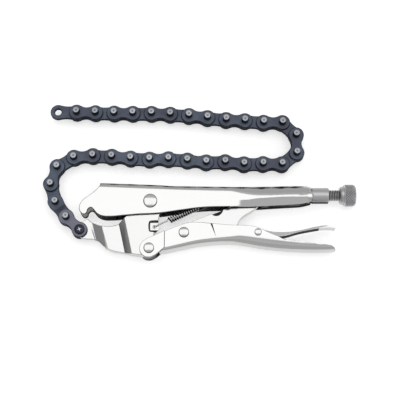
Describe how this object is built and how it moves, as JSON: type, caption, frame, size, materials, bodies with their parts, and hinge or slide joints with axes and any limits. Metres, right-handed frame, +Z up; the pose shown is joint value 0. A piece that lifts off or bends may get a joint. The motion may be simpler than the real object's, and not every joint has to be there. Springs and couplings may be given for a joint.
{
  "type": "locking chain clamp",
  "caption": "Locking pliers whose jaw carries a long leaf chain that wraps round a pipe or filter and hooks its pins into a notched nose.",
  "frame": {"origin": "on the jaw pivot's axis, at the flat land of the pivot rivet's lower head, where the tool rests on the bench", "axes": "+X along the tool towards the adjusting knob, +Y across it towards the chain, +Z up along the rivets"},
  "size_m": [0.2601, 0.1334, 0.0194],
  "materials": {
    "nickel_plate": "bright nickel plate over pressed and forged steel, lightly brushed",
    "rivet_steel": "bright domed rivet heads with fine turning marks",
    "dark_steel": "oiled steel with a grey-green cast in the thread",
    "knob_steel": "diamond knurled plated steel",
    "spring_wire": "drawn spring wire",
    "chain_grey": "satin grey steel with a lilac cast",
    "chain_black": "blue-black oxide with brighter worn edges and pin ends"
  },
  "bodies": {
    "handle": {"upper_handle": "nickel_plate", "jaw_pivot_rivet": "rivet_steel", "return_spring": "spring_wire"},
    "jaw": {"lower_jaw": "nickel_plate", "chain_anchor_rivet": "rivet_steel"},
    "lever": {"lever_handle": "nickel_plate", "lever_rivet": "rivet_steel", "toggle_rivet": "rivet_steel", "release_rivet": "rivet_steel"},
    "toggle": {"toggle_link": "nickel_plate"},
    "release": {"release_lever": "nickel_plate"},
    "screw": {"adjusting_screw": "dark_steel"},
    "knob": {"knurled_knob": "knob_steel"},
    "link_01": {"chain_link_01_anchor": "chain_grey"},
    "link_02": {"chain_link_02_offset": "chain_black"},
    "link_03": {"chain_link_03_inner": "chain_black"},
    "link_04": {"chain_link_04_outer": "chain_black"},
    "link_05": {"chain_link_05_inner": "chain_black"},
    "link_06": {"chain_link_06_outer": "chain_black"},
    "link_07": {"chain_link_07_inner": "chain_black"},
    "link_08": {"chain_link_08_outer": "chain_black"},
    "link_09": {"chain_link_09_inner": "chain_black"},
    "link_10": {"chain_link_10_outer": "chain_black"},
    "link_11": {"chain_link_11_inner": "chain_black"},
    "link_12": {"chain_link_12_outer": "chain_black"},
    "link_13": {"chain_link_13_inner": "chain_black"},
    "link_14": {"chain_link_14_outer": "chain_black"},
    "link_15": {"chain_link_15_inner": "chain_black"},
    "link_16": {"chain_link_16_outer": "chain_black"},
    "link_17": {"chain_link_17_inner": "chain_black"},
    "link_18": {"chain_link_18_outer": "chain_black"},
    "link_19": {"chain_link_19_inner": "chain_black"},
    "link_20": {"chain_link_20_outer": "chain_black"},
    "link_21": {"chain_link_21_inner": "chain_black"},
    "link_22": {"chain_link_22_outer": "chain_black"},
    "link_23": {"chain_link_23_inner": "chain_black"},
    "link_24": {"chain_link_24_outer": "chain_black"},
    "link_25": {"chain_link_25_inner": "chain_black"},
    "link_26": {"chain_link_26_outer": "chain_black"},
    "link_27": {"chain_link_27_inner": "chain_black"},
    "link_28": {"chain_link_28_outer": "chain_black"},
    "link_29": {"chain_link_29_inner": "chain_black"},
    "link_30": {"chain_link_30_outer": "chain_black"},
    "link_31": {"chain_link_31_inner": "chain_black"}
  },
  "joints": [
    {"name": "lever_swing", "type": "hinge", "parent": "jaw", "child": "lever", "pos_m": [-0.0007, -0.0397, 0.0097], "axis": [0, 0, 1], "range_deg": [-50, 0]},
    {"name": "jaw_pivot", "type": "hinge", "parent": "handle", "child": "jaw", "pos_m": [0, 0, 0.0097], "axis": [0, 0, 1], "range_deg": [0, 15], "deforming": ["return_spring"]},
    {"name": "toggle_swing", "type": "hinge", "parent": "lever", "child": "toggle", "pos_m": [0.0278, -0.0267, 0.0097], "axis": [0, 0, 1], "range_deg": [0, 50]},
    {"name": "release_swing", "type": "hinge", "parent": "lever", "child": "release", "pos_m": [0.08845, -0.02646, 0.0097], "axis": [0, 0, 1], "range_deg": [-10, 0]},
    {"name": "screw_travel", "type": "slide", "parent": "handle", "child": "screw", "axis": [1, 0, 0], "range_m": [0, 0.012]},
    {"name": "knob_spin", "type": "hinge", "parent": "screw", "child": "knob", "pos_m": [0.1635, 0.0065, 0.0097], "axis": [1, 0, 0], "range_deg": [0, 2880]},
    {"name": "chain_hinge_01", "type": "hinge", "parent": "jaw", "child": "link_01", "pos_m": [-0.058, -0.0234, 0.0097], "axis": [0, 0, 1], "range_deg": [-2.5, 45]},
    {"name": "chain_hinge_02", "type": "hinge", "parent": "link_01", "child": "link_02", "pos_m": [-0.06942, -0.01237, 0.0097], "axis": [0, 0, -1], "range_deg": [-45, 2.5]},
    {"name": "chain_hinge_03", "type": "hinge", "parent": "link_02", "child": "link_03", "pos_m": [-0.07875, 0.00047, 0.0097], "axis": [0, 0, 1], "range_deg": [-2.5, 45]},
    {"name": "chain_hinge_04", "type": "hinge", "parent": "link_03", "child": "link_04", "pos_m": [-0.08313, 0.01573, 0.0097], "axis": [0, 0, -1], "range_deg": [-45, 2.5]},
    {"name": "chain_hinge_05", "type": "hinge", "parent": "link_04", "child": "link_05", "pos_m": [-0.07822, 0.03083, 0.0097], "axis": [0, 0, 1], "range_deg": [-2.5, 45]},
    {"name": "chain_hinge_06", "type": "hinge", "parent": "link_05", "child": "link_06", "pos_m": [-0.06461, 0.039, 0.0097], "axis": [0, 0, -1], "range_deg": [-45, 2.5]},
    {"name": "chain_hinge_07", "type": "hinge", "parent": "link_06", "child": "link_07", "pos_m": [-0.0488, 0.04039, 0.0097], "axis": [0, 0, 1], "range_deg": [-3.5, 45]},
    {"name": "chain_hinge_08", "type": "hinge", "parent": "link_07", "child": "link_08", "pos_m": [-0.03293, 0.03984, 0.0097], "axis": [0, 0, -1], "range_deg": [-39, 3.5]},
    {"name": "chain_hinge_09", "type": "hinge", "parent": "link_08", "child": "link_09", "pos_m": [-0.01715, 0.03818, 0.0097], "axis": [0, 0, 1], "range_deg": [-4, 28]},
    {"name": "chain_hinge_10", "type": "hinge", "parent": "link_09", "child": "link_10", "pos_m": [-0.00129, 0.03734, 0.0097], "axis": [0, 0, -1], "range_deg": [-22, 5]},
    {"name": "chain_hinge_11", "type": "hinge", "parent": "link_10", "child": "link_11", "pos_m": [0.01458, 0.03762, 0.0097], "axis": [0, 0, 1], "range_deg": [-6, 17]},
    {"name": "chain_hinge_12", "type": "hinge", "parent": "link_11", "child": "link_12", "pos_m": [0.03042, 0.03651, 0.0097], "axis": [0, 0, -1], "range_deg": [-13, 8]},
    {"name": "chain_hinge_13", "type": "hinge", "parent": "link_12", "child": "link_13", "pos_m": [0.04621, 0.03485, 0.0097], "axis": [0, 0, 1], "range_deg": [-9, 11]},
    {"name": "chain_hinge_14", "type": "hinge", "parent": "link_13", "child": "link_14", "pos_m": [0.06208, 0.03513, 0.0097], "axis": [0, 0, -1], "range_deg": [-9, 13]},
    {"name": "chain_hinge_15", "type": "hinge", "parent": "link_14", "child": "link_15", "pos_m": [0.07783, 0.0332, 0.0097], "axis": [0, 0, 1], "range_deg": [-21, 8]},
    {"name": "chain_hinge_16", "type": "hinge", "parent": "link_15", "child": "link_16", "pos_m": [0.09371, 0.03347, 0.0097], "axis": [0, 0, -1], "range_deg": [-7, 37]},
    {"name": "chain_hinge_17", "type": "hinge", "parent": "link_16", "child": "link_17", "pos_m": [0.10958, 0.0332, 0.0097], "axis": [0, 0, 1], "range_deg": [-45, 6]},
    {"name": "chain_hinge_18", "type": "hinge", "parent": "link_17", "child": "link_18", "pos_m": [0.12209, 0.04297, 0.0097], "axis": [0, 0, -1], "range_deg": [-6, 45]},
    {"name": "chain_hinge_19", "type": "hinge", "parent": "link_18", "child": "link_19", "pos_m": [0.12209, 0.05885, 0.0097], "axis": [0, 0, 1], "range_deg": [-45, 5]},
    {"name": "chain_hinge_20", "type": "hinge", "parent": "link_19", "child": "link_20", "pos_m": [0.11067, 0.06987, 0.0097], "axis": [0, 0, -1], "range_deg": [-6, 45]},
    {"name": "chain_hinge_21", "type": "hinge", "parent": "link_20", "child": "link_21", "pos_m": [0.0948, 0.07015, 0.0097], "axis": [0, 0, 1], "range_deg": [-45, 7]},
    {"name": "chain_hinge_22", "type": "hinge", "parent": "link_21", "child": "link_22", "pos_m": [0.07898, 0.07153, 0.0097], "axis": [0, 0, -1], "range_deg": [-8, 45]},
    {"name": "chain_hinge_23", "type": "hinge", "parent": "link_22", "child": "link_23", "pos_m": [0.06315, 0.07264, 0.0097], "axis": [0, 0, 1], "range_deg": [-45, 9]},
    {"name": "chain_hinge_24", "type": "hinge", "parent": "link_23", "child": "link_24", "pos_m": [0.04736, 0.0743, 0.0097], "axis": [0, 0, -1], "range_deg": [-10, 45]},
    {"name": "chain_hinge_25", "type": "hinge", "parent": "link_24", "child": "link_25", "pos_m": [0.0316, 0.07624, 0.0097], "axis": [0, 0, 1], "range_deg": [-45, 12]},
    {"name": "chain_hinge_26", "type": "hinge", "parent": "link_25", "child": "link_26", "pos_m": [0.01577, 0.07734, 0.0097], "axis": [0, 0, -1], "range_deg": [-15, 45]},
    {"name": "chain_hinge_27", "type": "hinge", "parent": "link_26", "child": "link_27", "pos_m": [-0.00009, 0.07817, 0.0097], "axis": [0, 0, 1], "range_deg": [-45, 18]},
    {"name": "chain_hinge_28", "type": "hinge", "parent": "link_27", "child": "link_28", "pos_m": [-0.01596, 0.07817, 0.0097], "axis": [0, 0, -1], "range_deg": [-23, 45]},
    {"name": "chain_hinge_29", "type": "hinge", "parent": "link_28", "child": "link_29", "pos_m": [-0.03184, 0.07845, 0.0097], "axis": [0, 0, 1], "range_deg": [-45, 31]},
    {"name": "chain_hinge_30", "type": "hinge", "parent": "link_29", "child": "link_30", "pos_m": [-0.04771, 0.07873, 0.0097], "axis": [0, 0, -1], "range_deg": [-45, 45]},
    {"name": "chain_hinge_31", "type": "hinge", "parent": "link_30", "child": "link_31", "pos_m": [-0.06357, 0.07928, 0.0097], "axis": [0, 0, 1], "range_deg": [-45, 45]}
  ],
  "couplings": [
    {"joint": "jaw_pivot", "follows": "lever_swing", "ratio": -0.3},
    {"joint": "toggle_swing", "follows": "lever_swing", "ratio": -1},
    {"joint": "knob_spin", "follows": "screw_travel", "rad_per_m": 4188.8}
  ]
}
